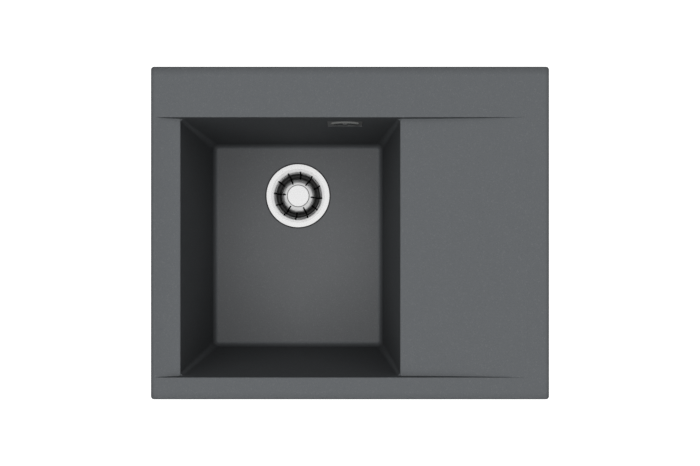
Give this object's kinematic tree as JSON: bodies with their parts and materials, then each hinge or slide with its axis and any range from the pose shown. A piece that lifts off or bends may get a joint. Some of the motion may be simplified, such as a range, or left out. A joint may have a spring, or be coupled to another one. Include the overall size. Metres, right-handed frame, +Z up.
{
  "type": "kitchen sink",
  "caption": "Inset composite kitchen sink with a deep bowl, a sloping drainboard, a lift-out basket strainer, an overflow with its hose, and clamps under the rim.",
  "frame": {"origin": "middle of the sink's outline, in the plane of the rim's underside, which rests on the worktop", "axes": "+X to the drainboard's side, +Y to the back ledge, +Z up"},
  "size_m": [0.61, 0.51, 0.279],
  "materials": {
    "composite": "matte moulded mineral composite with a fine speckle",
    "steel": "satin pressed stainless steel",
    "screw_steel": "zinc-plated steel",
    "rubber": "black rubber",
    "white_plastic": "moulded white polypropylene",
    "dark_plastic": "dark grey moulded plastic",
    "hose_plastic": "pale grey flexible plastic",
    "brass": "turned brass"
  },
  "bodies": {
    "sink": {"sink_body": "composite", "flange_gasket": "rubber", "strainer_flange": "steel", "strainer_screw": "steel", "body_gasket": "rubber", "waste_body": "white_plastic", "screw_insert": "brass", "overflow_cover": "dark_plastic", "overflow_screw": "screw_steel", "overflow_gasket": "rubber", "overflow_head": "white_plastic", "overflow_hose": "hose_plastic", "hose_nut_upper": "white_plastic", "hose_nut_lower": "white_plastic", "hose_washer_upper": "rubber", "hose_washer_lower": "rubber", "dowel_1": "white_plastic", "dowel_2": "white_plastic", "dowel_3": "white_plastic", "dowel_4": "white_plastic"},
    "basket": {"strainer_basket": "steel", "basket_knob": "steel", "basket_stem": "steel", "basket_seal": "rubber"},
    "clamp_carrier_1": {"clamp_washer_1": "screw_steel"},
    "clamp_bolt_1": {"clamp_screw_1": "screw_steel"},
    "clamp_arm_1": {"clamp_jaw_1": "screw_steel"},
    "clamp_carrier_2": {"clamp_washer_2": "screw_steel"},
    "clamp_bolt_2": {"clamp_screw_2": "screw_steel"},
    "clamp_arm_2": {"clamp_jaw_2": "screw_steel"},
    "clamp_carrier_3": {"clamp_washer_3": "screw_steel"},
    "clamp_bolt_3": {"clamp_screw_3": "screw_steel"},
    "clamp_arm_3": {"clamp_jaw_3": "screw_steel"},
    "clamp_carrier_4": {"clamp_washer_4": "screw_steel"},
    "clamp_bolt_4": {"clamp_screw_4": "screw_steel"},
    "clamp_arm_4": {"clamp_jaw_4": "screw_steel"}
  },
  "joints": [
    {"name": "basket_lift", "type": "slide", "parent": "sink", "child": "basket", "axis": [0, 0, 1], "range_m": [0, 0.225]},
    {"name": "clamp_travel_1", "type": "slide", "parent": "sink", "child": "clamp_carrier_1", "axis": [0, 0, 1], "range_m": [0, 0.015]},
    {"name": "clamp_spin_1", "type": "hinge", "parent": "clamp_carrier_1", "child": "clamp_bolt_1", "pos_m": [-0.28328, 0.145, 0], "axis": [0, 0, 1], "range_deg": [0, 2710]},
    {"name": "jaw_swing_1", "type": "hinge", "parent": "clamp_carrier_1", "child": "clamp_arm_1", "pos_m": [-0.28328, 0.145, 0], "axis": [0, 0, 1], "range_deg": [0, 90]},
    {"name": "clamp_travel_2", "type": "slide", "parent": "sink", "child": "clamp_carrier_2", "axis": [0, 0, 1], "range_m": [0, 0.015]},
    {"name": "clamp_spin_2", "type": "hinge", "parent": "clamp_carrier_2", "child": "clamp_bolt_2", "pos_m": [-0.28328, -0.185, 0], "axis": [0, 0, 1], "range_deg": [0, 2710]},
    {"name": "jaw_swing_2", "type": "hinge", "parent": "clamp_carrier_2", "child": "clamp_arm_2", "pos_m": [-0.28328, -0.185, 0], "axis": [0, 0, 1], "range_deg": [0, 90]},
    {"name": "clamp_travel_3", "type": "slide", "parent": "sink", "child": "clamp_carrier_3", "axis": [0, 0, 1], "range_m": [0, 0.015]},
    {"name": "clamp_spin_3", "type": "hinge", "parent": "clamp_carrier_3", "child": "clamp_bolt_3", "pos_m": [0.283, 0.145, 0], "axis": [0, 0, 1], "range_deg": [0, 2710]},
    {"name": "jaw_swing_3", "type": "hinge", "parent": "clamp_carrier_3", "child": "clamp_arm_3", "pos_m": [0.283, 0.145, 0], "axis": [0, 0, 1], "range_deg": [0, 90]},
    {"name": "clamp_travel_4", "type": "slide", "parent": "sink", "child": "clamp_carrier_4", "axis": [0, 0, 1], "range_m": [0, 0.015]},
    {"name": "clamp_spin_4", "type": "hinge", "parent": "clamp_carrier_4", "child": "clamp_bolt_4", "pos_m": [0.283, -0.185, 0], "axis": [0, 0, 1], "range_deg": [0, 2710]},
    {"name": "jaw_swing_4", "type": "hinge", "parent": "clamp_carrier_4", "child": "clamp_arm_4", "pos_m": [0.283, -0.185, 0], "axis": [0, 0, 1], "range_deg": [0, 90]}
  ],
  "couplings": [
    {"joint": "clamp_spin_1", "follows": "clamp_travel_1", "rad_per_m": 3141.6},
    {"joint": "clamp_spin_2", "follows": "clamp_travel_2", "rad_per_m": 3141.6},
    {"joint": "clamp_spin_3", "follows": "clamp_travel_3", "rad_per_m": 3141.6},
    {"joint": "clamp_spin_4", "follows": "clamp_travel_4", "rad_per_m": 3141.6}
  ]
}
